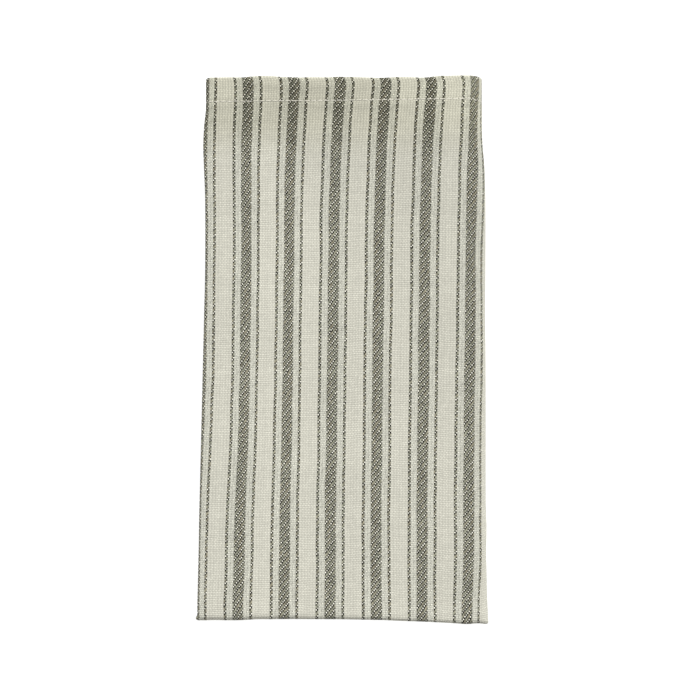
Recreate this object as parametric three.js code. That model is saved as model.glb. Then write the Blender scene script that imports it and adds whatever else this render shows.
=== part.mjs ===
// A square cloth napkin, folded in quarters along its length and then in half across.
// It lies flat: X runs across the folded napkin, Y up its face to the hemmed end, Z up from the table.
// The cloth is one sheet. The hems on its four sides are part of it, turned to the wrong side.
import * as THREE from "three";

const { clamp, lerp, smoothstep } = THREE.MathUtils;

// Driving dimensions, in millimetres.
const clothThickness = 1.0;
const layerGap = 0.35;
const hemWidth = 12.7;
const hemExtra = 0.8;
const hemmedEnd = 114.3;
const pressedEnd = -113.2;

// Share of its own height that the outer fold reaches sideways, and how far in the inner fold lies.
const outerFoldReach = 0.95;
const innerFoldSetback = 0.6;

// How far the back half draws in at the hemmed end, and the width over which the layers above a
// side hem come down from it.
const backInset = 1.2;
const sideHemSlope = 21;

// The left and right edges of the folded napkin, going down its face.
const sideEdges = [
  { y: 114.3, left: -57.0, right: 58.6 },
  { y: 104.6, left: -57.0, right: 58.7 },
  { y: 98.3, left: -57.5, right: 58.7 },
  { y: 92.0, left: -57.9, right: 58.7 },
  { y: 85.7, left: -58.2, right: 58.9 },
  { y: 77.4, left: -57.9, right: 59.8 },
  { y: 62.7, left: -57.4, right: 60.2 },
  { y: 33.3, left: -57.4, right: 60.2 },
  { y: 16.5, left: -57.8, right: 60.0 },
  { y: -4.4, left: -58.2, right: 60.1 },
  { y: -38.0, left: -59.0, right: 60.2 },
  { y: -63.1, left: -59.7, right: 60.3 },
  { y: -84.1, left: -60.2, right: 60.4 },
  { y: -105.1, left: -60.6, right: 60.8 },
  { y: -113.2, left: -60.9, right: 61.2 },
];

// How far the hemmed end and the pressed fold stray from straight, going across the face.
const endEdges = [
  { x: -57, hem: -0.1, fold: -0.1 },
  { x: -48, hem: -0.1, fold: 0.0 },
  { x: -33, hem: 0.3, fold: 0.2 },
  { x: -17, hem: -0.3, fold: 0.4 },
  { x: -3, hem: 0.1, fold: 0.3 },
  { x: 14, hem: -0.4, fold: -0.1 },
  { x: 29, hem: -0.2, fold: -0.6 },
  { x: 42, hem: 0.7, fold: -1.1 },
  { x: 52, hem: 0.4, fold: -1.8 },
  { x: 60, hem: 0.3, fold: -1.6 },
];

// How far the end hems raise what lies over them, as a share of their thickness.
const hemStack = [
  { inward: 0, height: 1.0 },
  { inward: 3, height: 1.0 },
  { inward: 8, height: 0.95 },
  { inward: 12, height: 0.82 },
  { inward: 16, height: 0.62 },
  { inward: 23, height: 0.43 },
  { inward: 32, height: 0.24 },
  { inward: 42, height: 0.1 },
  { inward: 56, height: 0 },
];

// What one hem adds to the plain cloth, as a share of its thickness, going in from its edge.
const hemProfile = [
  { inward: 0, height: 0.45 },
  { inward: 1, height: 0.98 },
  { inward: 6, height: 0.94 },
  { inward: 10, height: 0.78 },
  { inward: 11.5, height: 0.62 },
  { inward: hemWidth, height: 0 },
];

// The eight layers from the table up. Level 3 is outermost in its half and level 0 innermost.
// endHems counts the end hems that lie under a layer, and sideHems the pairs of side hems.
const layers = [
  { half: "back", level: 3, endHems: 0, sideHems: 0, endInset: 1.5 },
  { half: "back", level: 2, endHems: 2, sideHems: 0, endInset: 2.2 },
  { half: "back", level: 1, endHems: 2, sideHems: 0, endInset: 1.8 },
  { half: "back", level: 0, endHems: 4, sideHems: 1, endInset: 1.0 },
  { half: "front", level: 0, endHems: 4, sideHems: 1, endInset: 1.3 },
  { half: "front", level: 1, endHems: 6, sideHems: 2, endInset: 1.7 },
  { half: "front", level: 2, endHems: 6, sideHems: 2, endInset: 0.8 },
  { half: "front", level: 3, endHems: 8, sideHems: 2, endInset: 0 },
];

// The section across the cloth, from one side hem to the other: four panels and three folds.
// A panel runs between its ends and a fold is a half turn.
const section = [
  { panel: 1, toward: "right", left: "hem", right: "inner" },
  { fold: "inner", from: 1, to: 2, steps: 6 },
  { panel: 2, toward: "left", left: "left", right: "inner" },
  { fold: "left", from: 2, to: 3, steps: 6 },
  { panel: 3, toward: "right", left: "left", right: "outer" },
  { fold: "outer", from: 3, to: 0, steps: 8 },
  { panel: 0, toward: "left", left: "hem", right: "outer" },
];

// Where a panel is cut, from its side hem's edge, and from the napkin's left edge. The cuts before
// sideHemsEnd are only in panels that have no hem there.
const hemCuts = [0, 1, 11.5, hemWidth];
const leftCuts = [9, 17, 23, 30, 38, 57, 76, 96];
const sideHemsEnd = 22;

// How far the side hems are set in from the left edge, at either end of the face.
const sideHems = [
  { level: 1, atHemmedEnd: 3.0, atPressedEnd: 4.5 },
  { level: 0, atHemmedEnd: 5.5, atPressedEnd: 8.0 },
];

// Stations along one half, in from the hemmed end, and the steps of the half turn at the pressed end.
const stationsIn = [0, 1, 5, 9, 11.5, 12.7, 16, 22, 29, 37, 46, 57, 80, 105, 130, 155, 178, 198, 212];
const pressedSteps = 10;

const pitch = clothThickness + layerGap;
const halfCloth = clothThickness / 2;
const pressedReach = halfCloth + ((layers.length - 1) * pitch) / 2;
const halfLength = hemmedEnd - pressedEnd - pressedReach;

// Reads one column of a table at a place between its rows, on a smooth curve through them.
function readTable(rows, key, column, place) {
  const sorted = [...rows].sort((a, b) => a[key] - b[key]);
  const last = sorted.length - 1;
  const at = clamp(place, sorted[0][key], sorted[last][key]);
  const i = Math.min(sorted.findLastIndex((row) => row[key] <= at), last - 1);
  const slopeAt = (n) => {
    const before = sorted[Math.max(n - 1, 0)];
    const after = sorted[Math.min(n + 1, last)];
    return (after[column] - before[column]) / (after[key] - before[key]);
  };
  const span = sorted[i + 1][key] - sorted[i][key];
  const rise = sorted[i + 1][column] - sorted[i][column];
  const t = (at - sorted[i][key]) / span;
  const lean = (slopeAt(i) * span - rise) * (1 - t) - (slopeAt(i + 1) * span - rise) * t;
  return sorted[i][column] + rise * t + lean * t * (1 - t);
}

// What a hem adds to the cloth at a distance in from its edge, on straight lines between the rows.
function hemThickness(inward) {
  const i = hemProfile.findIndex((row, n) => n > 0 && inward < row.inward);
  if (i < 0) return 0;
  const from = hemProfile[i - 1];
  const t = clamp((inward - from.inward) / (hemProfile[i].inward - from.inward), 0, 1);
  return hemExtra * lerp(from.height, hemProfile[i].height, t);
}

const layerAt = (half, level) => layers.find((layer) => layer.half === half && layer.level === level);
const raisedBy = (inward) => readTable(hemStack, "inward", "height", inward);

// The edges of one half of the folded napkin at a height on its face, and its hidden side hems.
function edgesAt(half, y) {
  const up = clamp((y - pressedEnd) / (hemmedEnd - pressedEnd), 0, 1);
  const drawnIn = half === "back" ? backInset * up : 0;
  const left = readTable(sideEdges, "y", "left", y) + drawnIn;
  const right = readTable(sideEdges, "y", "right", y) - drawnIn;
  const hemEdge = (hem) => left + lerp(hem.atPressedEnd, hem.atHemmedEnd, up);
  return { left, right, hems: sideHems.map((hem) => ({ level: hem.level, x: hemEdge(hem) })) };
}

// How many side hems lie one on the other at a place, with the slope down from them.
function sideHemsUnder(x, edges) {
  return edges.hems.reduce((sum, hem) => {
    const end = hem.x + hemWidth;
    return sum + 1 - smoothstep(x, end, end + sideHemSlope);
  }, 0);
}

// Height of the middle of a layer over the table.
function layerHeight(half, level, x, inward, edges) {
  const layer = layerAt(half, level);
  const raised = raisedBy(inward);
  const hems = layer.endHems * raised + layer.sideHems * sideHemsUnder(x, edges) * (1 - raised);
  return halfCloth + layers.indexOf(layer) * pitch + hemExtra * hems;
}

// Half the height of a fold between two levels.
function foldRadius(from, to, inward) {
  const low = layerAt("front", Math.min(from, to));
  const high = layerAt("front", Math.max(from, to));
  const apart = (layers.indexOf(high) - layers.indexOf(low)) * pitch;
  return (apart + hemExtra * (high.endHems - low.endHems) * raisedBy(inward)) / 2;
}

// The middle of each fold across one station, and how far the cloth reaches sideways from it.
function foldsAt(inward, edges) {
  const outerReach = outerFoldReach * foldRadius(3, 0, inward);
  const outer = edges.right - halfCloth - outerReach;
  const left = foldRadius(3, 2, inward);
  return {
    outer: { x: outer, reach: outerReach },
    inner: { x: outer - innerFoldSetback, reach: foldRadius(2, 1, inward) },
    left: { x: edges.left + halfCloth + left, reach: -left },
  };
}

// Where a place across the cloth lies: its x, the levels on either side of it, and its share of the
// higher. A nudge moves it along the section, by a distance on a panel and a share of the turn on a fold.
function placeAt(place, nudge, inward, edges) {
  const { row } = place;
  const folds = foldsAt(inward, edges);
  if (row.fold) {
    const angle = Math.PI * (place.turned + nudge);
    const low = Math.min(row.from, row.to);
    const high = Math.max(row.from, row.to);
    const toHigh = (1 - Math.cos(angle)) / 2;
    const share = row.to === high ? toHigh : 1 - toHigh;
    return { x: folds[row.fold].x + folds[row.fold].reach * Math.sin(angle), low, high, share };
  }
  const hem = edges.hems.find((each) => each.level === row.panel);
  const starts = { hem: hem?.x, edge: edges.left };
  const start = folds[place.from]?.x ?? starts[place.from];
  const way = row.toward === "right" ? 1 : -1;
  return { x: start + place.cut + way * nudge, low: row.panel, high: row.panel, share: 0 };
}

// A station along the cloth: 0 to 1 down the front, 1 to 2 round the pressed fold, 2 to 3 up the back.
function stationAt(along) {
  const down = clamp(along < 2 ? along : 3 - along, 0, 1);
  const turn = Math.PI * clamp(along - 1, 0, 1);
  return { half: along < 1.5 ? "front" : "back", down, turn };
}

// How far the outermost layer reaches beyond the start of its half turn at the pressed end.
function outermostReach(x) {
  const edges = edgesAt("front", pressedEnd);
  const front = layerHeight("front", 3, x, halfLength, edges);
  return halfCloth + (front - layerHeight("back", 3, x, halfLength, edges)) / 2;
}

// The cloth at a place across it and a station along it: the middle of its plain thickness, and what
// a hem adds to it there.
function clothAt(place, nudge, along) {
  const { half, down, turn } = stationAt(along);
  const nominal = down * halfLength;
  const edges = edgesAt(half, hemmedEnd - nominal - pressedReach * Math.sin(turn));
  const { x, low, high, share } = placeAt(place, nudge, nominal, edges);
  const inset = lerp(layerAt(half, low).endInset, layerAt(half, high).endInset, share);
  const top = hemmedEnd + readTable(endEdges, "x", "hem", x) - inset;
  const bottom = pressedEnd + readTable(endEdges, "x", "fold", x) + outermostReach(x);
  const y = lerp(top, bottom, down);
  const heightIn = (side, level) => layerHeight(side, level, x, hemmedEnd - y, edges);
  const front = lerp(heightIn("front", low), heightIn("front", high), share);
  const back = lerp(heightIn("back", low), heightIn("back", high), share);
  const radius = (front - back) / 2;
  const hem = edges.hems.find((each) => each.level === place.row.panel);
  return {
    middle: new THREE.Vector3(x, y - radius * Math.sin(turn), (front + back) / 2 + radius * Math.cos(turn)),
    extra: Math.max(hemThickness(top - y), hem ? hemThickness(x - hem.x) : 0),
  };
}

// The cloth's right side and wrong side at a place, on the square to the middle of its thickness.
function bothSides(place, along) {
  const step = 1e-4;
  const { middle, extra } = clothAt(place, 0, along);
  const across = clothAt(place, step, along).middle.sub(clothAt(place, -step, along).middle);
  const down = clothAt(place, 0, along + step).middle.sub(clothAt(place, 0, along - step).middle);
  const outward = down.cross(across).normalize();
  const right = middle.clone().addScaledVector(outward, halfCloth);
  const wrong = middle.clone().addScaledVector(outward, -halfCloth - extra);
  return [right, wrong];
}

// Every place across the cloth, from one side hem to the other.
function placesAcross() {
  return section.flatMap((row) => {
    if (row.fold) {
      return Array.from({ length: row.steps - 1 }, (_, n) => ({ row, turned: (n + 1) / row.steps }));
    }
    const hemmed = row.left === "hem";
    const start = hemmed ? hemCuts : [0];
    const cuts = leftCuts.filter((cut) => !hemmed || cut > sideHemsEnd);
    const places = [
      ...start.map((cut) => ({ row, from: row.left, cut })),
      ...cuts.map((cut) => ({ row, from: "edge", cut })),
      { row, from: row.right, cut: 0 },
    ];
    return row.toward === "right" ? places : places.reverse();
  });
}

// Every station along the cloth, from the front's hemmed end round the pressed fold to the back's.
function stationsAlong() {
  const front = stationsIn.map((inward) => inward / halfLength);
  const turns = Array.from({ length: pressedSteps + 1 }, (_, n) => 1 + n / pressedSteps);
  const back = front.map((along) => 3 - along).reverse();
  return [...front, ...turns, ...back];
}

// The whole sheet as one closed surface: its right side, its wrong side and the edge between them.
function foldedSheet() {
  const places = placesAcross();
  const points = stationsAlong().flatMap((along) => places.flatMap((place) => bothSides(place, along)));
  const lastPlace = places.length - 1;
  const lastStation = stationsAlong().length - 1;
  const right = (station, place) => 2 * (station * places.length + place);
  const wrong = (station, place) => right(station, place) + 1;
  const faces = [];
  const quad = (a, b, c, d) => faces.push(a, b, c, a, c, d);
  for (let s = 0; s < lastStation; s += 1) {
    for (let p = 0; p < lastPlace; p += 1) {
      quad(right(s, p), right(s + 1, p), right(s + 1, p + 1), right(s, p + 1));
      quad(wrong(s, p), wrong(s, p + 1), wrong(s + 1, p + 1), wrong(s + 1, p));
    }
    quad(right(s, lastPlace), right(s + 1, lastPlace), wrong(s + 1, lastPlace), wrong(s, lastPlace));
    quad(right(s + 1, 0), right(s, 0), wrong(s, 0), wrong(s + 1, 0));
  }
  for (let p = 0; p < lastPlace; p += 1) {
    quad(right(0, p), right(0, p + 1), wrong(0, p + 1), wrong(0, p));
    quad(right(lastStation, p + 1), right(lastStation, p), wrong(lastStation, p), wrong(lastStation, p + 1));
  }
  const geometry = new THREE.BufferGeometry().setFromPoints(points);
  geometry.setIndex(faces);
  geometry.computeVertexNormals();
  return geometry;
}

const cottonTicking = new THREE.MeshStandardMaterial({ color: 0xc3c1b3, roughness: 0.95, metalness: 0 });
const napkin = new THREE.Mesh(foldedSheet(), cottonTicking);
napkin.name = "napkin";

const foldedNapkin = new THREE.Group();
foldedNapkin.add(napkin);

export default foldedNapkin;
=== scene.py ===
# A folded cotton napkin in a ticking stripe, lying face up.
# X runs across the folded napkin, Y up its face to the hemmed end, Z up from the table.
import math
import bpy
import numpy as np
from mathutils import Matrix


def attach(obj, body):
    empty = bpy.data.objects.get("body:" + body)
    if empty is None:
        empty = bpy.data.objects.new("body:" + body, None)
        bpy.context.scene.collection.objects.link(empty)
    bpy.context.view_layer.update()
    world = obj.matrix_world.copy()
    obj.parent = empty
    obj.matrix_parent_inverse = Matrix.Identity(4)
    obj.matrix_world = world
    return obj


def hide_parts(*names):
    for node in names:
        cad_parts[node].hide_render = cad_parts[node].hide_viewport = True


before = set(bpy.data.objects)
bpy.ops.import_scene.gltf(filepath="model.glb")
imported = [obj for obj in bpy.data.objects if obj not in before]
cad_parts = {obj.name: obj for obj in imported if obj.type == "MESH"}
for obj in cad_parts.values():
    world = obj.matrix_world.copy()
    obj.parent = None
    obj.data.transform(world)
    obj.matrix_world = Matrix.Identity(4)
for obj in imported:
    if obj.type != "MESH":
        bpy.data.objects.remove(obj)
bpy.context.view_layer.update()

mm = 0.001
print("napkin: frame loaded")


# Camera and light. The camera looks straight down on the napkin's face.
def studio():
    sizes = {
        "pictureWidth": 293.6 * mm,
        "faceHeight": 10.5 * mm,
        "lookAt": (3.33 * mm, 0.0),
        "cameraHeight": 2.6,
        "sensorWidth": 36.0,
        "floorSide": 12.0,
        "floorGap": 0.2 * mm,
        "floorTone": 0.25,
        "floorGlow": 0.95,
        "skyStrength": 0.4,
        "keyStrength": 3.78,
        "keySpread": 15.0,
        "keyElevation": 37.0,
        "keyTurn": 12.0,
    }
    scene = bpy.context.scene
    lens = bpy.data.cameras.new("camera")
    lens.sensor_width = sizes["sensorWidth"]
    lens.lens = sizes["sensorWidth"] * sizes["cameraHeight"] / sizes["pictureWidth"]
    camera = bpy.data.objects.new("camera", lens)
    camera.location = (*sizes["lookAt"], sizes["faceHeight"] + sizes["cameraHeight"])
    scene.collection.objects.link(camera)
    scene.camera = camera
    scene.view_settings.view_transform = "Standard"

    world = bpy.data.worlds.new("studio")
    world.use_nodes = True
    background = world.node_tree.nodes["Background"]
    background.inputs["Color"].default_value = (1.0, 1.0, 1.0, 1.0)
    background.inputs["Strength"].default_value = sizes["skyStrength"]
    scene.world = world

    # One soft light from beyond the hemmed end, a little to the right.
    lamp = bpy.data.lights.new("keyLight", "SUN")
    lamp.energy = sizes["keyStrength"]
    lamp.angle = math.radians(sizes["keySpread"])
    key = bpy.data.objects.new("keyLight", lamp)
    rise, turn = math.radians(sizes["keyElevation"]), math.radians(sizes["keyTurn"])
    reach = math.cos(rise)
    key.location = (reach * math.sin(turn), reach * math.cos(turn), math.sin(rise))
    key.rotation_euler = (-key.location).to_track_quat("-Z", "Y").to_euler()
    scene.collection.objects.link(key)

    half, low = sizes["floorSide"] / 2, -sizes["floorGap"]
    corners = [(-half, -half, low), (half, -half, low), (half, half, low), (-half, half, low)]
    mesh = bpy.data.meshes.new("floor")
    mesh.from_pydata(corners, [], [(0, 1, 2, 3)])
    paint = bpy.data.materials.new("floorPaint")
    paint.use_nodes = True
    shader = paint.node_tree.nodes["Principled BSDF"]
    shader.inputs["Base Color"].default_value = (*[sizes["floorTone"]] * 3, 1.0)
    shader.inputs["Roughness"].default_value = 0.9
    shader.inputs["Emission Color"].default_value = (1.0, 1.0, 1.0, 1.0)
    shader.inputs["Emission Strength"].default_value = sizes["floorGlow"]
    mesh.materials.append(paint)
    floor = bpy.data.objects.new("floor", mesh)
    scene.collection.objects.link(floor)
    return floor


floor = studio()
print("napkin: camera, light and floor")


# The folds, as in the frame's own solid. Lengths in this dictionary are millimetres.
fold = {
    "thickness": 1.0,
    "layerGap": 0.35,
    "hemWidth": 12.7,
    "hemExtra": 0.8,
    "hemmedEnd": 114.3,
    "pressedEnd": -113.3,
    "outerFoldReach": 0.95,
    "innerFoldSetback": 0.6,
    "backInset": 1.2,
    "sideHemSlope": 32.0,
    "hemNose": 0.9,
    "foldSquareness": 7.0,
    "seamIn": 10.2,
    "seamGroove": 0.07,
    "seamGrooveWidth": 0.55,
    "hemStep": 0.02,
    "leftFoldKept": 0.7,
    "rightFoldKept": 0.93,
    "besideHem": 13.6,
    "hemZone": 35.0,
    "hemmedPanel": 100.0,
    "plainPanel": 116.0,
    "columnWidth": 1.5,
    "hiddenColumnWidth": 7.0,
    "rowHeight": 4.0,
}

# The left and right edges going down the face: y, left, right.
sideEdges = [
    (114.3, -57.0, 58.6), (104.6, -57.0, 58.6), (101.2, -57.1, 58.7), (98.3, -57.4, 58.7),
    (94.6, -57.8, 58.7), (85.7, -58.2, 59.0), (77.4, -57.9, 59.8), (62.7, -57.4, 60.2),
    (33.3, -57.4, 60.2), (16.5, -57.8, 60.1), (-4.4, -58.3, 60.3), (-38.0, -59.1, 60.35),
    (-63.1, -59.7, 60.4), (-71.5, -59.9, 60.7), (-84.1, -60.1, 60.6), (-105.1, -60.6, 61.1),
    (-110.4, -60.8, 61.45), (-112.2, -61.3, 61.5), (-113.2, -61.1, 61.5),
]

# How far the hemmed end and the pressed fold stray from straight going across: x, hem, fold.
endEdges = [
    (-57.0, -0.25, -0.1), (-53.5, -0.3, 0.0), (-47.6, -0.2, -0.1), (-41.5, -0.25, 0.0),
    (-36.0, 0.3, 0.3), (-30.0, 0.32, 0.3), (-24.1, -0.13, 0.35), (-18.0, -0.32, 0.3),
    (-12.4, -0.2, 0.25), (-6.5, -0.25, 0.25), (0.0, 0.05, 0.2), (5.2, -0.08, 0.1),
    (11.1, -0.27, 0.0), (17.0, -0.38, -0.1), (23.0, -0.05, -0.4), (28.7, -0.08, -0.6),
    (34.6, -0.25, -0.8), (40.5, 0.45, -1.1), (46.3, 0.58, -1.4), (52.2, 0.66, -1.8),
    (57.6, 0.3, -1.5), (60.0, 0.1, -1.8),
]

# How far the end hems raise what lies over them, as a share of their thickness: distance in from the
# hemmed end, then the share at each x of hemPileAt. The pile is slack on the right and drops off late.
hemPileAt = (-53.0, -34.0, -15.0, 4.0, 23.0, 42.0)
hemPile = [
    (0.0, 1.16, 1.27, 1.28, 1.06, 1.01, 1.0),
    (3.3, 1.10, 1.20, 1.19, 0.97, 0.95, 0.99),
    (6.6, 1.05, 1.09, 1.04, 0.86, 0.88, 0.99),
    (9.6, 1.00, 1.00, 0.92, 0.77, 0.82, 0.98),
    (11.7, 0.90, 0.86, 0.83, 0.71, 0.77, 0.95),
    (14.6, 0.70, 0.67, 0.70, 0.61, 0.68, 0.92),
    (18.0, 0.49, 0.45, 0.57, 0.51, 0.59, 0.88),
    (22.6, 0.25, 0.20, 0.44, 0.40, 0.48, 0.81),
    (28.9, 0.05, 0.03, 0.28, 0.27, 0.37, 0.69),
    (37.0, 0.0, 0.0, 0.15, 0.14, 0.25, 0.55),
    (50.0, 0.0, 0.0, 0.03, 0.03, 0.11, 0.43),
    (70.0, 0.0, 0.0, 0.0, 0.0, 0.03, 0.33),
    (90.0, 0.0, 0.0, 0.0, 0.0, 0.0, 0.2),
    (115.0, 0.0, 0.0, 0.0, 0.0, 0.0, 0.07),
    (140.0, 0.0, 0.0, 0.0, 0.0, 0.0, 0.0),
]

# The end hem's seam runs straight across the face: its y at two places.
seamLine = [(-39.2, 104.2), (55.5, 105.3)]

# What one hem adds to the plain cloth: distance in, share of its thickness.
hemProfile = [(0.0, 0.98), (6.0, 0.94), (10.0, 0.78), (11.5, 0.62), (12.7, 0.0)]

# The layers from the table up: half, level, end hems under it, pairs of side hems under it, end inset.
layers = [
    ("back", 3, 0, 0, 1.5), ("back", 2, 2, 0, 2.2), ("back", 1, 2, 0, 1.8), ("back", 0, 4, 1, 1.0),
    ("front", 0, 4, 1, 1.3), ("front", 1, 6, 2, 1.7), ("front", 2, 6, 2, 0.8), ("front", 3, 8, 2, 0.0),
]

# Where the side hems lie: level, distance from the left edge at the hemmed end and at the pressed end.
sideHems = {1: (3.0, 4.5), 0: (5.5, 8.0)}

# Where the stripe lies going down the face: y, then the x of each warp end in gaugeEnds. End 0 is the
# middle of the first wide stripe, and there are 32 ends to a repeat.
gaugeEnds = (-28, -23, -9, 41, 105, 137, 151, 156, 164, 169)
stripeSway = [
    (114.6, -55.4, -52.9, -45.3, -15.3, 22.9, 42.0, 50.1, 53.7, 57.4, 58.5),
    (111.8, -55.5, -52.9, -44.7, -14.4, 23.8, 42.8, 51.0, 54.0, 57.6, 58.6),
    (102.9, -55.6, -53.1, -44.6, -15.0, 23.1, 42.3, 50.6, 53.4, 57.1, 58.2),
    (92.0, -56.2, -53.4, -45.2, -15.7, 22.3, 41.6, 50.1, 53.0, 56.8, 58.2),
    (79.4, -56.5, -53.6, -45.4, -16.3, 21.7, 41.0, 49.5, 52.5, 57.1, 59.0),
    (60.6, -56.15, -53.5, -45.2, -17.0, 21.2, 40.5, 49.0, 52.0, 56.7, 59.3),
    (45.9, -56.05, -53.5, -45.1, -17.1, 20.8, 40.2, 48.8, 51.85, 56.3, 58.65),
    (29.1, -56.3, -53.7, -45.3, -17.3, 20.7, 40.0, 48.6, 51.6, 56.1, 58.45),
    (-4.4, -56.7, -54.0, -45.7, -17.7, 20.3, 39.7, 48.2, 51.3, 56.05, 58.65),
    (-38.0, -57.9, -55.1, -46.6, -18.1, 19.9, 39.3, 47.7, 50.9, 55.6, 58.1),
    (-71.5, -59.1, -56.6, -48.1, -18.7, 19.6, 39.0, 47.5, 50.7, 55.5, 58.1),
    (-88.3, -59.45, -57.0, -48.5, -18.8, 19.7, 39.0, 47.6, 50.7, 55.3, 58.2),
    (-105.1, -59.7, -57.4, -49.0, -19.0, 19.8, 39.0, 47.2, 50.1, 54.8, 57.4),
]

# The pitches are millimetres. Past the table's last column the ends crowd round the right fold, at
# least edgeEnds of them to a millimetre as seen from above.
weave = {"endPitch": 0.594, "pickPitch": 0.735, "edgeEnds": 2.7}


# A smooth curve through the values at rising keys. A value is a number or an array like place.
def smoothCurve(keys, values, place):
    keys = np.array(keys, float)
    slopes = np.empty_like(values)
    wide = keys.reshape(-1, *[1] * (values.ndim - 1))
    slopes[1:-1] = (values[2:] - values[:-2]) / (wide[2:] - wide[:-2])
    slopes[0] = (values[1] - values[0]) / (keys[1] - keys[0])
    slopes[-1] = (values[-1] - values[-2]) / (keys[-1] - keys[-2])
    at = np.clip(place, keys[0], keys[-1])
    i = np.clip(np.searchsorted(keys, at, "right") - 1, 0, len(keys) - 2)

    def pick(rows, index):
        return rows[index] if rows.ndim == 1 else np.take_along_axis(rows, index[None], 0)[0]

    span = keys[i + 1] - keys[i]
    rise = pick(values, i + 1) - pick(values, i)
    t = (at - keys[i]) / span
    lean = (pick(slopes, i) * span - rise) * (1 - t) - (pick(slopes, i + 1) * span - rise) * t
    return pick(values, i) + rise * t + lean * t * (1 - t)


def smoothTable(rows, column, place):
    rows = np.array(sorted(rows), float)
    return smoothCurve(rows[:, 0], rows[:, column], place)


def straightTable(rows, place):
    keys, values = np.array(rows, float).T
    return np.interp(place, keys, values)


def smoothStep(x, low, high):
    t = np.clip((x - low) / (high - low), 0, 1)
    return t * t * (3 - 2 * t)


pitch = fold["thickness"] + fold["layerGap"]
halfCloth = fold["thickness"] / 2
pressedReach = halfCloth + (len(layers) - 1) * pitch / 2
halfLength = fold["hemmedEnd"] - fold["pressedEnd"] - pressedReach


def layerOf(half, level):
    index = next(i for i, row in enumerate(layers) if row[0] == half and row[1] == level)
    row = layers[index]
    return {"index": index, "endHems": row[2], "sideHems": row[3], "endInset": row[4]}


def edgesAt(back, y):
    up = np.clip((y - fold["pressedEnd"]) / (fold["hemmedEnd"] - fold["pressedEnd"]), 0, 1)
    drawnIn = back * fold["backInset"] * up
    left = smoothTable(sideEdges, 1, y) + drawnIn
    right = smoothTable(sideEdges, 2, y) - drawnIn
    hems = {level: left + low + (high - low) * up for level, (high, low) in sideHems.items()}
    return left, right, hems


def sideHemsUnder(x, hems):
    total = 0
    for edge in hems.values():
        end = edge + fold["hemWidth"]
        total = total + 1 - smoothStep(x, end, end + fold["sideHemSlope"])
    return total


def raisedBy(x, inward):
    x, inward = np.broadcast_arrays(x, inward)
    shares = [smoothTable(hemPile, column + 1, inward) for column in range(len(hemPileAt))]
    return smoothCurve(hemPileAt, np.stack(shares), x)


def layerHeight(half, level, x, inward, hems):
    layer = layerOf(half, level)
    raised = raisedBy(x, inward)
    overSide = layer["sideHems"] * sideHemsUnder(x, hems) * (1 - np.minimum(raised, 1))
    return halfCloth + layer["index"] * pitch + fold["hemExtra"] * (layer["endHems"] * raised + overSide)


def foldRadius(low, high, x, inward):
    below, above = layerOf("front", low), layerOf("front", high)
    apart = (above["index"] - below["index"]) * pitch
    raised = fold["hemExtra"] * (above["endHems"] - below["endHems"]) * raisedBy(x, inward)
    return (apart + raised) / 2


def spread(start, end, width):
    count = max(2, round(abs(end - start) / width) + 1)
    return np.linspace(start, end, count)


# Places across the cloth from one side hem to the other. Each is its panel or fold, and its share of
# the way, or its distance in from a side hem's edge where it lies in one. "kept" is how far a fold
# keeps the length of the face at the pressed end. "seen" marks what the stripe's table covers.
def placesAcross():
    hemCuts = [0.0, 0.06, 0.2, 0.45, 0.9, 2.0, 5.0, 8.0, 9.3, 9.8, 10.2, 10.6, 11.1, 12.2, 12.7]
    hemCuts.append(fold["besideHem"])
    hidden = spread(0, 1, fold["hiddenColumnWidth"] / fold["hemmedPanel"])[1:]
    inside = spread(0, 1, fold["hiddenColumnWidth"] / fold["plainPanel"])
    face = spread(0, 1, fold["columnWidth"] / fold["plainPanel"])
    places = []
    places += [{"panel": 1, "hemIn": cut} for cut in hemCuts]
    places += [{"panel": 1, "fromHem": share} for share in hidden]
    places += [{"fold": "inner", "turned": n / 10, "levels": (1, 2)} for n in range(1, 10)]
    places += [{"panel": 2, "share": share} for share in 1 - inside]
    for n in range(1, 12):
        kept = fold["leftFoldKept"] * min(1, n / 6)
        place = {"fold": "left", "turned": n / 12, "levels": (2, 3)}
        places.append({**place, "kept": kept, "seen": n > 6})
    places += [{"panel": 3, "share": share, "seen": True} for share in face]
    for n in range(1, 14):
        kept = fold["rightFoldKept"] * min(1, (14 - n) / 7)
        place = {"fold": "outer", "turned": n / 14, "levels": (3, 0)}
        places.append({**place, "kept": kept, "seen": n < 7})
    places += [{"panel": 0, "fromHem": share} for share in hidden[::-1]]
    places += [{"panel": 0, "hemIn": cut} for cut in hemCuts[::-1]]
    return places


# Stations along the cloth: 0 to 1 down the front, 1 to 2 round the pressed fold, 2 to 3 up the back.
def stationsAlong():
    hemEnd = [0.0, 0.06, 0.2, 0.45, 0.9, 1.5, 2.3, 3.4, 4.6, 5.8, 7.0, 8.2, 9.1, 9.5, 9.85, 10.2]
    slope = [10.55, 10.9, 11.4, 12.2, 12.7, 13.1, 13.6, 14.4, 15.5, 17.0, 19.0, 21.5, 24.5, 28.0, 31.5]
    body = spread(fold["hemZone"], halfLength - 8.0, fold["rowHeight"])
    down = np.concatenate([hemEnd, slope, body, halfLength - np.array([5.5, 3.5, 1.8])]) / halfLength
    turn = 1 + np.arange(0, 31) / 30
    return np.concatenate([down, turn, 3 - down[::-1]])


# A soft unevenness of the whole pile, small against its height: the cloth isn't ironed flat.
def unevenness(x, y):
    waves = [
        (0.16, 47.0, 11.0, 0.4), (0.13, -29.0, 61.0, 1.9), (0.1, 21.0, 35.0, 4.1),
        (0.07, 15.0, -23.0, 2.6), (0.05, -9.0, 17.0, 5.2), (0.04, 12.0, 8.5, 0.9),
    ]
    total = 0
    for height, across, down, phase in waves:
        total = total + height * np.sin(x / across + y / down + phase)
    return total


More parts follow.
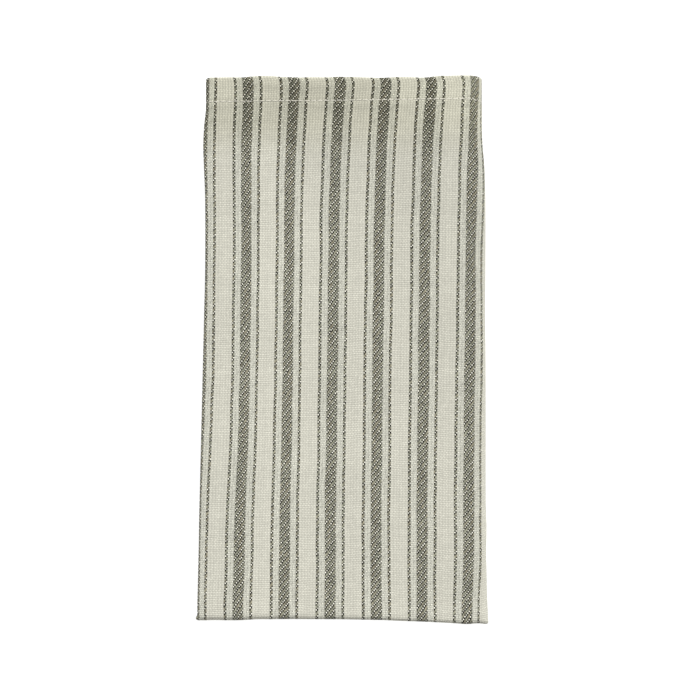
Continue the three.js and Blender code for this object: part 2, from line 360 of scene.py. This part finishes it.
# Where the places lie across at each station. "levels" are the two layers that each lies between, and
# "share" is how far it is from the lower to the upper. "hemIn" is its distance in from a side hem.
def placesOnLayers(places, nominal, left, right, hems):
    outerReach = fold["outerFoldReach"] * foldRadius(0, 3, right, nominal)
    outerX = right - halfCloth - outerReach
    innerX = outerX - fold["innerFoldSetback"]
    innerReach = foldRadius(1, 2, right, nominal)
    leftReach = foldRadius(2, 3, left, nominal)
    leftX = left + halfCloth + leftReach
    foldX = {"outer": (outerX, outerReach), "inner": (innerX, innerReach), "left": (leftX, -leftReach)}

    columns, levels, shares, hemIn = [], [], [], []
    for place in places:
        farIn = np.full_like(left, 1000.0)
        if "fold" in place:
            start, end = place["levels"]
            middle, reach = foldX[place["fold"]]
            angle = math.pi * place["turned"]
            toEnd = (1 - math.cos(angle)) / 2
            columns.append(middle + reach * math.sin(angle))
            levels.append((min(start, end), max(start, end)))
            shares.append(toEnd if end > start else 1 - toEnd)
            hemIn.append(farIn)
            continue
        level = place["panel"]
        levels.append((level, level))
        shares.append(0.0)
        end = innerX if level in (1, 2) else outerX
        if "share" in place:
            columns.append(leftX + (end - leftX) * place["share"])
            hemIn.append(farIn)
            continue
        edge = hems[level]
        if "hemIn" in place:
            columns.append(edge + place["hemIn"])
        else:
            start = edge + fold["besideHem"]
            columns.append(start + (end - start) * place["fromHem"])
        hemIn.append(columns[-1] - edge)
    return {
        "x": np.hstack(columns),
        "levels": levels,
        "share": np.array(shares)[None, :],
        "hemIn": np.hstack(hemIn),
    }


# The middle of the cloth, station by station going along and place by place going across.
def foldedMiddle(places, along):
    nominal = np.clip(np.where(along < 2, along, 3 - along), 0, 1) * halfLength
    turn = np.pi * np.clip(along - 1, 0, 1)
    back = (along >= 1.5).astype(float)
    left, right, hems = edgesAt(back, fold["hemmedEnd"] - nominal - pressedReach * np.sin(turn))
    laid = placesOnLayers(places, nominal, left, right, hems)
    x, share = laid["x"], laid["share"]

    def between(values):
        low = np.stack([values[low][:, i] for i, (low, high) in enumerate(laid["levels"])], 1)
        high = np.stack([values[high][:, i] for i, (low, high) in enumerate(laid["levels"])], 1)
        return low * (1 - share) + high * share

    def heights(half, inward):
        return between([layerHeight(half, level, x, inward, hems) for level in range(4)])

    def insets(half):
        return between([np.full_like(x, layerOf(half, level)["endInset"]) for level in range(4)])

    # Down the cloth from its hemmed end, whose place differs from layer to layer.
    inset = np.where(back > 0, insets("back"), insets("front"))
    top = fold["hemmedEnd"] + smoothTable(endEdges, 1, x) - inset
    atFold = edgesAt(0.0, np.array(fold["pressedEnd"]))[2]
    foldTop = layerHeight("front", 3, x, np.array(halfLength), atFold)
    foldLow = layerHeight("back", 3, x, np.array(halfLength), atFold)
    faceRadius = (foldTop - foldLow) / 2
    bottom = fold["pressedEnd"] + smoothTable(endEdges, 2, x) + halfCloth + faceRadius
    toBody = np.clip((nominal - fold["hemZone"]) / (halfLength - fold["hemZone"]), 0, 1)
    fromEnd = nominal + (top - bottom - halfLength) * toBody
    (seamX, seamY), (farX, farY) = seamLine
    seamAt = seamY + (x - seamX) * (farY - seamY) / (farX - seamX)
    toSeam = np.interp(nominal, [0, 2, fold["seamIn"], 13, 24], [0, 0, 1, 1, 0])
    onFace = np.array([place.get("panel") == 3 for place in places]) * (back < 1)
    y = top - fromEnd - toSeam * onFace * (top - seamAt - fold["seamIn"])

    # The pressed fold is squarer than round, and more so round the outer layers.
    inward = fold["hemmedEnd"] - y
    front, rear = heights("front", inward), heights("back", inward)
    radius = (front - rear) / 2
    kept = np.array([place.get("kept", 0.0) for place in places])[None, :]
    reach = radius + (faceRadius - radius) * kept
    power = 2 / (2 + fold["foldSquareness"] * np.clip((reach - 0.7) / 4, 0, 1) ** 2)
    sine, cosine = np.sin(turn), np.cos(turn)
    z = (front + rear) / 2 + radius * np.sign(cosine) * np.abs(cosine) ** power
    y = y - reach * np.abs(sine) ** power
    z = z + unevenness(x, y) * np.clip((z - 0.5) / 9, 0, 1)
    return np.stack([x, y, z], 2), fromEnd, laid["hemIn"]


# The weave's own measure of the cloth: which warp end and which pick lies at each point. Ends are
# read off the stripe on the face and counted on from there. Picks are counted from each end hem.
def wovenPlaces(places, along, middle, rightSide):
    x, y = rightSide[:, :, 0], middle[:, :, 1]
    seen = [i for i, place in enumerate(places) if place.get("seen")]
    faceStart, faceEnd = seen[0], seen[-1]
    knots = np.stack([smoothTable(stripeSway, n + 1, y) for n in range(len(gaugeEnds))], 2)
    ends = np.zeros_like(x)
    for i in seen:
        ends[:, i] = endAt(x[:, i], knots[:, i])
    step = np.linalg.norm(np.diff(middle, axis=1), axis=2) / weave["endPitch"]
    for i in range(faceStart - 1, -1, -1):
        ends[:, i] = ends[:, i + 1] - step[:, i]
    for i in range(faceEnd + 1, len(places)):
        ends[:, i] = ends[:, i - 1] + step[:, i - 1]

    run = np.linalg.norm(np.diff(rightSide, axis=0), axis=2) / weave["pickPitch"]
    picks = np.vstack([np.zeros((1, len(places))), np.cumsum(run, axis=0)])
    fromBack = picks[-1] - picks
    whole = picks[-1, (faceStart + faceEnd) // 2]
    turnStart = int(np.argmin(np.abs(along - 1)))
    turnEnd = int(np.argmin(np.abs(along - 2)))
    first, last = picks[turnStart], whole - fromBack[turnEnd]
    turned = (picks - first) / (picks[turnEnd] - first)
    station = np.arange(len(along))[:, None]
    inTurn = first + (last - first) * turned
    picks = np.where(station <= turnStart, picks, np.where(station >= turnEnd, whole - fromBack, inTurn))
    return ends, -picks


# The warp end at each x, read off the stripe's places there and carried on past the first and last.
def endAt(x, knots):
    result = np.empty_like(x)
    for i in range(len(x)):
        xs = knots[i]
        first = (gaugeEnds[1] - gaugeEnds[0]) / (xs[1] - xs[0])
        last = max(weave["edgeEnds"], (gaugeEnds[-1] - gaugeEnds[-2]) / (xs[-1] - xs[-2]))
        if x[i] < xs[0]:
            result[i] = gaugeEnds[0] + (x[i] - xs[0]) * first
        elif x[i] > xs[-1]:
            result[i] = gaugeEnds[-1] + (x[i] - xs[-1]) * last
        else:
            result[i] = np.interp(x[i], xs, gaugeEnds)
    return result


# Both sides of the cloth. The hems thicken it on the wrong side, and the seam draws the right side in.
def foldedCloth():
    places = placesAcross()
    along = stationsAlong()
    middle, endIn, hemIn = foldedMiddle(places, along[:, None])
    acrossCloth = np.gradient(middle, axis=1)
    downCloth = np.gradient(middle, axis=0)
    normal = np.cross(downCloth, acrossCloth)
    normal /= np.linalg.norm(normal, axis=2, keepdims=True)

    def added(inward):
        share = straightTable(hemProfile, np.clip(inward, 0, 99))
        return fold["hemExtra"] * share * (inward < fold["hemWidth"])

    extra = np.maximum(added(endIn), added(hemIn))
    hemDistance = np.minimum(endIn, hemIn)
    nose = np.clip(hemDistance / fold["hemNose"], 0.004, 1)
    noseRound = np.sqrt(1 - (1 - nose) ** 2)
    groove = np.exp(-((hemDistance - fold["seamIn"]) / fold["seamGrooveWidth"]) ** 2)
    step = smoothStep(hemDistance, 12.2, 13.4) * (1 - smoothStep(hemDistance, 14, 22))
    drawn = fold["seamGroove"] * groove + fold["hemStep"] * step
    centre = -extra / 2
    rightSide = middle + normal * (centre - drawn + (halfCloth - centre) * noseRound)[:, :, None]
    wrongSide = middle + normal * (centre + (-halfCloth - extra - centre) * noseRound)[:, :, None]
    ends, picks = wovenPlaces(places, along, middle, rightSide)

    # The seam's path: round the cloth along all four hems.
    seamRow = int(np.argmin(np.abs(along * halfLength - fold["seamIn"])))
    farRow = len(along) - 1 - seamRow
    first, last = [i for i, place in enumerate(places) if place.get("hemIn") == fold["seamIn"]]
    across, down = list(range(first, last + 1)), list(range(seamRow + 1, farRow))
    rows = [seamRow] * len(across) + down + [farRow] * len(across) + down[::-1]
    columns = across + [last] * len(down) + across[::-1] + [first] * len(down)
    path, facing = rightSide[rows, columns], normal[rows, columns]
    run = np.concatenate([[0], np.cumsum(np.linalg.norm(np.diff(path, axis=0), axis=1))])

    # The same run at the cloth of the end hems, for the needle holes.
    toBack = len(across) + len(down)
    place = np.arange(len(places))
    frontRun = np.interp(place, across, run[:len(across)])
    backRun = np.interp(place, across, run[toBack:toBack + len(across)][::-1])
    seamRun = np.where((along < 1.5)[:, None], frontRun, backRun)
    return {
        "rightSide": rightSide * mm,
        "wrongSide": wrongSide * mm,
        "ends": ends,
        "picks": picks,
        "hemDistance": hemDistance,
        "seamRun": seamRun,
        "path": path * mm,
        "facing": facing,
        "run": run,
    }


def clothMesh(cloth):
    stations, places = cloth["ends"].shape
    points = np.concatenate([cloth["rightSide"].reshape(-1, 3), cloth["wrongSide"].reshape(-1, 3)])
    grid = np.arange(stations * places).reshape(stations, places)
    wrong = grid + stations * places

    def quads(a, b, c, d):
        return np.stack([a, b, c, d], -1).reshape(-1, 4)

    faces = np.concatenate([
        quads(grid[:-1, :-1], grid[1:, :-1], grid[1:, 1:], grid[:-1, 1:]),
        quads(wrong[:-1, :-1], wrong[:-1, 1:], wrong[1:, 1:], wrong[1:, :-1]),
        quads(grid[:-1, -1], grid[1:, -1], wrong[1:, -1], wrong[:-1, -1]),
        quads(grid[1:, 0], grid[:-1, 0], wrong[:-1, 0], wrong[1:, 0]),
        quads(grid[0, :-1], grid[0, 1:], wrong[0, 1:], wrong[0, :-1]),
        quads(grid[-1, 1:], grid[-1, :-1], wrong[-1, :-1], wrong[-1, 1:]),
    ])
    mesh = bpy.data.meshes.new("napkinCloth")
    mesh.from_pydata(points.tolist(), [], faces.tolist())
    mesh.polygons.foreach_set("use_smooth", np.ones(len(faces), bool))
    corner = np.zeros(len(mesh.loops), int)
    mesh.loops.foreach_get("vertex_index", corner)
    flat = np.stack([cloth["ends"].ravel(), cloth["picks"].ravel()], 1)
    layer = mesh.uv_layers.new(name="cloth")
    layer.data.foreach_set("uv", np.concatenate([flat, flat])[corner].astype(np.float32).ravel())
    for name in ("hemDistance", "seamRun"):
        attribute = mesh.attributes.new(name, "FLOAT", "POINT")
        attribute.data.foreach_set("value", np.concatenate([cloth[name].ravel()] * 2).astype(np.float32))
    mesh.update()
    return mesh


cloth = foldedCloth()
mesh = clothMesh(cloth)
napkin = bpy.data.objects.new("clothSheet", mesh)
bpy.context.scene.collection.objects.link(napkin)
print("napkin: cloth,", sum(len(p.vertices) - 2 for p in mesh.polygons), "triangles")


# Node maths as Python: a Wire is a socket that can be added, multiplied and so on.
class Wire:
    def __init__(self, maker, socket):
        self.maker = maker
        self.socket = socket

    def __add__(self, other):
        return self.maker.maths("ADD", self, other)

    def __radd__(self, other):
        return self.maker.maths("ADD", other, self)

    def __sub__(self, other):
        return self.maker.maths("SUBTRACT", self, other)

    def __rsub__(self, other):
        return self.maker.maths("SUBTRACT", other, self)

    def __mul__(self, other):
        return self.maker.maths("MULTIPLY", self, other)

    def __rmul__(self, other):
        return self.maker.maths("MULTIPLY", other, self)

    def __truediv__(self, other):
        return self.maker.maths("DIVIDE", self, other)

    def __rtruediv__(self, other):
        return self.maker.maths("DIVIDE", other, self)

    def __mod__(self, other):
        return self.maker.maths("FLOORED_MODULO", self, other)

    def __lt__(self, other):
        return self.maker.maths("LESS_THAN", self, other)

    def __gt__(self, other):
        return self.maker.maths("GREATER_THAN", self, other)

    def __abs__(self):
        return self.maker.maths("ABSOLUTE", self)


class Maker:
    def __init__(self, tree):
        self.tree = tree

    def node(self, kind, settings=None, inputs=None):
        made = self.tree.nodes.new(kind)
        for name, value in (settings or {}).items():
            setattr(made, name, value)
        for key, value in (inputs or {}).items():
            if isinstance(value, Wire):
                self.tree.links.new(value.socket, made.inputs[key])
            else:
                made.inputs[key].default_value = value
        return made

    def wire(self, kind, output, settings=None, inputs=None):
        return Wire(self, self.node(kind, settings, inputs).outputs[output])

    def maths(self, operation, *values):
        return self.wire("ShaderNodeMath", 0, {"operation": operation}, dict(enumerate(values)))

    def vectors(self, operation, *values):
        return self.wire("ShaderNodeVectorMath", 0, {"operation": operation}, dict(enumerate(values)))

    def floor(self, value):
        return self.maths("FLOOR", value)

    def square(self, value):
        return value * value

    def smooth(self, value, low, high):
        settings = {"interpolation_type": "SMOOTHSTEP"}
        return self.wire("ShaderNodeMapRange", 0, settings, {0: value, 1: low, 2: high, 3: 0.0, 4: 1.0})

    def blend(self, share, first, second):
        return self.wire("ShaderNodeMix", 2, {"data_type": "RGBA"}, {0: share, 6: first, 7: second})

    def choose(self, share, first, second):
        return self.wire("ShaderNodeMix", 0, {"data_type": "FLOAT"}, {0: share, 2: first, 3: second})

    def scaled(self, colour, factor):
        colour = colour if isinstance(colour, Wire) else colour[:3]
        return self.wire("ShaderNodeVectorMath", 0, {"operation": "SCALE"}, {0: colour, 3: factor})

    def vector(self, x, y, z=0.0):
        return self.wire("ShaderNodeCombineXYZ", 0, None, {0: x, 1: y, 2: z})

    def split(self, vector):
        node = self.node("ShaderNodeSeparateXYZ", None, {0: vector})
        return [Wire(self, output) for output in node.outputs]

    # Three random numbers for each whole pair of numbers.
    def randoms(self, x, y):
        settings = {"noise_dimensions": "2D"}
        return self.split(self.wire("ShaderNodeTexWhiteNoise", 1, settings, {0: self.vector(x, y)}))

    def noise(self, place, scale, detail=2.0):
        inputs = {"Vector": place, "Scale": scale, "Detail": detail}
        return self.wire("ShaderNodeTexNoise", 0, None, inputs)

    def attribute(self, name):
        return self.wire("ShaderNodeAttribute", 2, {"attribute_name": name})


def linear(red, green, blue):
    def channel(value):
        value /= 255
        return value / 12.92 if value <= 0.04045 else ((value + 0.055) / 1.055) ** 2.4
    return (channel(red), channel(green), channel(blue), 1.0)


# The hems' stitches: one thread round all four hems, dipping into the cloth at each needle hole.
thread = {
    "diameter": 0.46,
    "sink": 0.07,
    "stitchLength": 2.7,
    "dive": 0.34,
    "lean": 0.07,
    "samplesPerStitch": 8,
    "seed": 7,
}
stitchCount = round(cloth["run"][-1] / thread["stitchLength"])
stitchLength = cloth["run"][-1] / stitchCount


def stitchTree(material):
    tree = bpy.data.node_groups.new("stitchesAlongPath", "GeometryNodeTree")
    sockets = [
        ("Path", "Geometry"), ("Thread diameter", "Float"), ("Stitch length", "Float"), ("Dive", "Float"),
        ("Lean", "Float"), ("Samples", "Int"), ("Seed", "Int"),
    ]
    for name, kind in sockets:
        tree.interface.new_socket(name, in_out="INPUT", socket_type="NodeSocket" + kind)
    tree.interface.new_socket("Stitches", in_out="OUTPUT", socket_type="NodeSocketGeometry")
    make = Maker(tree)
    group = make.node("NodeGroupInput")
    given = {name: Wire(make, group.outputs[name]) for name, kind in sockets}

    def step(kind, geometry, inputs=None, settings=None):
        node = make.node(kind, settings, inputs)
        tree.links.new(geometry.socket, node.inputs[0])
        return Wire(make, node.outputs[0])

    def stored(name, kind):
        return make.wire("GeometryNodeInputNamedAttribute", 0, {"data_type": kind}, {"Name": name})

    run, facing = stored("run", "FLOAT"), stored("facing", "FLOAT_VECTOR")
    along = run / given["Stitch length"]
    fromHole = abs((along + 0.5) % 1.0 - 0.5)
    hole = 1 - make.smooth(fromHole, 0.0, 0.16)
    chance = make.node("FunctionNodeRandomValue", {"data_type": "FLOAT"}, {2: -1.0, 3: 1.0})
    tree.links.new(make.floor(along + 0.001).socket, chance.inputs["ID"])
    tree.links.new(given["Seed"].socket, chance.inputs["Seed"])
    tilt = Wire(make, chance.outputs[1]) * given["Lean"] * (1 - hole)
    sideways = make.vectors("CROSS_PRODUCT", facing, make.wire("GeometryNodeInputTangent", 0))
    dip = make.scaled(facing, 0 - hole * given["Dive"])
    offset = make.vectors("ADD", dip, make.scaled(sideways, tilt))

    line = step("GeometryNodeMeshToCurve", given["Path"])
    line = step("GeometryNodeResampleCurve", line, {"Count": given["Samples"]}, {"mode": "COUNT"})
    line = step("GeometryNodeSetPosition", line, {"Offset": offset})
    section = make.wire("GeometryNodeCurvePrimitiveCircle", 0, {"mode": "RADIUS"},
                        {"Resolution": 6, "Radius": given["Thread diameter"] / 2})
    inputs = {"Profile Curve": section, "Fill Caps": True}
    tube = step("GeometryNodeCurveToMesh", line, inputs)
    tube = step("GeometryNodeSetShadeSmooth", tube)
    tube = step("GeometryNodeRealizeInstances", tube)
    tube = step("GeometryNodeSetMaterial", tube, {"Material": material})
    ending = make.node("NodeGroupOutput")
    tree.links.new(tube.socket, ending.inputs[0])
    return tree


def stitchPiece(material):
    points = len(cloth["run"])
    path = bpy.data.meshes.new("seamPath")
    places = cloth["path"] - cloth["facing"] * thread["sink"] * mm
    path.from_pydata(places.tolist(), [(i, i + 1) for i in range(points - 1)], [])
    run = path.attributes.new("run", "FLOAT", "POINT")
    run.data.foreach_set("value", cloth["run"].astype(np.float32))
    facing = path.attributes.new("facing", "FLOAT_VECTOR", "POINT")
    facing.data.foreach_set("vector", cloth["facing"].astype(np.float32).ravel())
    piece = bpy.data.objects.new("hemStitches", path)
    bpy.context.scene.collection.objects.link(piece)
    modifier = piece.modifiers.new("stitches", "NODES")
    modifier.node_group = stitchTree(material)
    values = {
        "Thread diameter": thread["diameter"] * mm,
        "Stitch length": stitchLength,
        "Dive": thread["dive"] * mm,
        "Lean": thread["lean"] * mm,
        "Samples": stitchCount * thread["samplesPerStitch"] + 1,
        "Seed": thread["seed"],
    }
    for item in modifier.node_group.interface.items_tree:
        if item.in_out == "INPUT" and item.name in values:
            modifier[item.identifier] = values[item.name]
    depsgraph = bpy.context.evaluated_depsgraph_get()
    plain = bpy.data.meshes.new_from_object(
        piece.evaluated_get(depsgraph), preserve_all_data_layers=True, depsgraph=depsgraph)
    piece.modifiers.remove(modifier)
    piece.data = plain
    return piece


def threadMaterial():
    look = {
        "thread": linear(230, 227, 214),
        "shadow": linear(206, 201, 186),
        "plyLength": 0.62,
    }
    material = bpy.data.materials.new("sewingThread")
    material.use_nodes = True
    make = Maker(material.node_tree)
    run = make.attribute("run")
    ply = abs((run / look["plyLength"]) % 1.0 - 0.5) * 2
    fibres = make.noise(make.vector(run, 0.0, 0.0), 3.0, 3.0)
    tone = make.smooth(ply, 0.0, 0.7) * 0.6 + fibres * 0.5
    colour = make.blend(tone, look["shadow"], look["thread"])
    shader = material.node_tree.nodes["Principled BSDF"]
    material.node_tree.links.new(colour.socket, shader.inputs["Base Color"])
    shader.inputs["Roughness"].default_value = 0.7
    shader.inputs["Specular IOR Level"].default_value = 0.3
    return material


stitches = stitchPiece(threadMaterial())
print("napkin:", stitchCount, "stitches of", round(stitchLength, 2), "mm")


# Ticking cloth. The stripe is woven: wide and thin dark stripes and the cream beside them in a
# warp-faced twill, and the middle of the cream in plain weave, its ends drawn in pairs. Lengths in the
# weave are in warp ends across and picks along, and triples are for the dark twill, cream twill and
# plain. nearHem, holeSize and edgeWidth are millimetres.
def tickingMaterial():
    look = {
        "repeatEnds": 32.0,
        "wideHalf": 3.75,
        "thinStart": 8.05,
        "thinEnd": 9.95,
        "plainStart": 10.0,
        "creamYarn": linear(217.5, 215.5, 201),
        "creamTwill": linear(217.5, 217, 202.5),
        "greyYarn": linear(161, 162, 143),
        "brownYarn": linear(158, 147, 123),
        "brownMost": 0.6,
        "weftTone": (1.2, 1.24, 1.05),
        "dotAcross": (0.74, 0.7, 0.65),
        "dotAlong": (0.375, 0.353, 0.467),
        "dotSizeSpread": 0.23,
        "dotToneSpread": (0.55, 0.5, 0.2),
        "floatToneSpread": (0.65, 0.2, 0.06),
        "shadeAt": (0.114, -0.235),
        "shadeSize": (1.295, 1.486),
        "shadeDepth": (1.0, 0.11, 0.1),
        "yarnRoundness": (0.233, 0.0, 0.0),
        "gapAt": (-0.463, -0.069),
        "gapLean": -0.258,
        "gapSize": (0.25, 0.5),
        "gapDepth": (0.84, 0.75, 0.0),
        "ribDepth": (0.0, 0.42, 0.33),
        "pairDepth": (0.0, 0.215, 0.16),
        "pairNearHem": (0.0, 0.0, 0.1),
        "yarnSpread": 0.06,
        "slubScale": 0.9,
        "slubSpread": 0.12,
        "mottleScale": 0.045,
        "mottleSpread": 0.1,
        "wanderScale": 0.12,
        "endWander": 1.2,
        "pickWander": 2.4,
        "dotWander": 0.35,
        "nearHem": (16.0, 36.0),
        "slackEnds": (130.0, 158.0),
        "nearHemDark": (0.3, 0.06, 0.0),
        "nearHemWarmShade": (0.99, 0.985, 0.93, 1.0),
        "holeSize": (0.5, 0.35),
        "holeDark": 0.3,
        "edgeWidth": (0.1, 1.3),
        "edgeDark": 0.2,
        "reliefHeight": 0.08 * mm,
    }
    material = bpy.data.materials.new("tickingCotton")
    material.use_nodes = True
    tree = material.node_tree
    make = Maker(tree)
    shader = tree.nodes["Principled BSDF"]
    straightU, straightV, _ = make.split(make.wire("ShaderNodeUVMap", 0, {"uv_map": "cloth"}))
    flatX, flatY = straightU * weave["endPitch"], straightV * weave["pickPitch"]
    endNoise = make.noise(make.vector(flatX, flatY * 0.5), look["wanderScale"])
    u = straightU + (endNoise - 0.5) * look["endWander"]
    pickNoise = make.noise(make.vector(flatX * 0.5, flatY, 7.0), look["wanderScale"])
    v = straightV + (pickNoise - 0.5) * look["pickWander"]

    # The stripe: which weave and which colour an end has.
    end = make.floor(u)
    across = u - end - 0.5
    repeat = look["repeatEnds"]
    fromWide = abs((u + repeat / 2) % repeat - repeat / 2)
    endFromWide = abs((end + 0.5 + repeat / 2) % repeat - repeat / 2)
    thin = (fromWide > look["thinStart"]) * (fromWide < look["thinEnd"])
    dark = (fromWide < look["wideHalf"]) + thin
    plain = endFromWide > look["plainStart"]

    def byWeave(values):
        return make.choose(dark, make.choose(plain, values[1], values[2]), values[0])

    # Twill: one pick in four passes over each end, a pick higher at each end to the right.
    # Plain weave: every other pick does.
    cycle = make.choose(plain, 4.0, 2.0)
    toPick = make.choose(plain, v - end, v + end) - 0.5
    cell = make.floor((toPick + cycle / 2) / cycle)
    dotChance, sizeChance, floatChance = make.randoms(end, cell)
    shiftChance, cellHue, _ = make.randoms(end + 499, cell)
    fromPick = (toPick + cycle / 2) % cycle - cycle / 2 + look["dotWander"] * (shiftChance - 0.5)

    def oval(x, y, size):
        return make.maths("SQRT", make.square(x / size[0]) + make.square(y / size[1]))

    # A pick shows as a dot on the end that it passes over. Painted shade darkens the end beside the dot
    # and the gap where the yarns part, and in the cream it darkens the grooves of the ribbed picks and of
    # the ends drawn in pairs.
    dotSize = 1 + look["dotSizeSpread"] * (sizeChance - 0.5)
    dotOval = oval(across, fromPick, (byWeave(look["dotAcross"]), byWeave(look["dotAlong"]))) / dotSize
    weftOver = 1 - make.smooth(dotOval, 0.8, 1.2)
    shadeAt, gapAt = look["shadeAt"], look["gapAt"]
    shadeOval = oval(across - shadeAt[0], fromPick - shadeAt[1], look["shadeSize"])
    shade = 1 - byWeave(look["shadeDepth"]) * (1 - make.smooth(shadeOval, 0.5, 1.3))
    # Painted shade on the sides of each end, as on a round yarn.
    edge = abs(across) * 2
    barrel = 1 - byWeave(look["yarnRoundness"]) * edge * edge * edge
    gapAcross = across - gapAt[0]
    gapOval = oval(gapAcross, fromPick - gapAt[1] - look["gapLean"] * gapAcross, look["gapSize"])
    gap = 1 - byWeave(look["gapDepth"]) * (1 - make.smooth(gapOval, 0.6, 1.2))
    hemDistance = make.attribute("hemDistance")
    nearHem = 1 - make.smooth(hemDistance, *look["nearHem"])
    rib = 1 - byWeave(look["ribDepth"]) * (1 - 0.3 * nearHem) * make.square(abs(v % 1.0 - 0.5) * 2)
    drawnIn = byWeave(look["pairDepth"]) + nearHem * byWeave(look["pairNearHem"])
    pair = 1 - drawnIn * make.smooth(abs(u % 2.0 - 1), 0.55, 1.0)

    # Yarns differ a little from end to end, from pick to pick and along their length.
    def varied(chance, amount):
        return 1 - amount / 2 + amount * chance

    endChance, hueChance, _ = make.randoms(end, 977.0)
    pickChance = make.randoms(311.0, make.floor(v))[0]
    slub = make.noise(make.vector(u, v * 0.12), look["slubScale"], 3.0)
    mottle = make.noise(make.vector(flatX, flatY), look["mottleScale"], 3.0)
    yarns = varied(endChance, look["yarnSpread"]) * varied(pickChance, look["yarnSpread"])
    uneven = yarns * varied(mottle, look["mottleSpread"]) * varied(slub, look["slubSpread"])

    # At the hem the cloth is seen at a slant and shows more shade, but less where the pile is slack.
    slack = make.smooth(u, *look["slackEnds"])
    hemShade = 1 - byWeave(look["nearHemDark"]) * nearHem * (1 - slack)
    # Painted shade in the needle holes along the seam, each darkened by holeDark.
    holeRun = abs((make.attribute("seamRun") / stitchLength + 0.5) % 1.0 - 0.5) * stitchLength
    hole = 1 - make.smooth(oval(holeRun, hemDistance - fold["seamIn"], look["holeSize"]), 0.5, 1.1)

    brownShare = make.smooth(hueChance * 0.4 + cellHue * 0.6 + slub - 0.5, 0.3, 0.9) * look["brownMost"]
    grey = make.blend(brownShare, look["greyYarn"], look["brownYarn"])
    warpTone = shade * barrel * hemShade * (1 + byWeave(look["floatToneSpread"]) * (floatChance - 0.5))
    weftTone = byWeave(look["weftTone"]) * (1 + byWeave(look["dotToneSpread"]) * (dotChance - 0.5))
    cream = make.blend(plain, look["creamTwill"], look["creamYarn"])
    warp = make.scaled(make.blend(dark, cream, grey), warpTone)
    weft = make.scaled(look["creamYarn"], weftTone)
    # relief carries the painted groove shade into the colour, and into the bump's height below.
    relief = gap * rib * pair
    # Painted shade: the cloth is darkened within edgeWidth of a hem's folded edge, toning down the light
    # on the rounded nose.
    hemEdgeShade = 1 - look["edgeDark"] * (1 - make.smooth(hemDistance, *look["edgeWidth"]))
    tone = relief * uneven * hemEdgeShade * (1 - look["holeDark"] * hole)
    # Painted shade: near the hem the colour is warmed and darkened a little, as light bouncing in the
    # shaded hem zone is warmer.
    hemWarmShade = make.blend(nearHem, (1.0, 1.0, 1.0, 1.0), look["nearHemWarmShade"])
    colour = make.vectors("MULTIPLY", make.scaled(make.blend(weftOver, warp, weft), tone), hemWarmShade)
    tree.links.new(colour.socket, shader.inputs["Base Color"])

    height = make.choose(weftOver, shade * barrel, 1.0) * relief * look["reliefHeight"]
    bump = make.node("ShaderNodeBump", None, {"Strength": 1.0, "Distance": 1.0, "Height": height})
    tree.links.new(bump.outputs[0], shader.inputs["Normal"])
    shader.inputs["Roughness"].default_value = 0.92
    shader.inputs["Specular IOR Level"].default_value = 0.25
    shader.inputs["Sheen Weight"].default_value = 0.1
    shader.inputs["Sheen Roughness"].default_value = 0.5
    return material


mesh.materials.append(tickingMaterial())
print("napkin: ticking material")

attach(napkin, "root")
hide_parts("napkin")
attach(stitches, "root")

print("napkin: dressed")
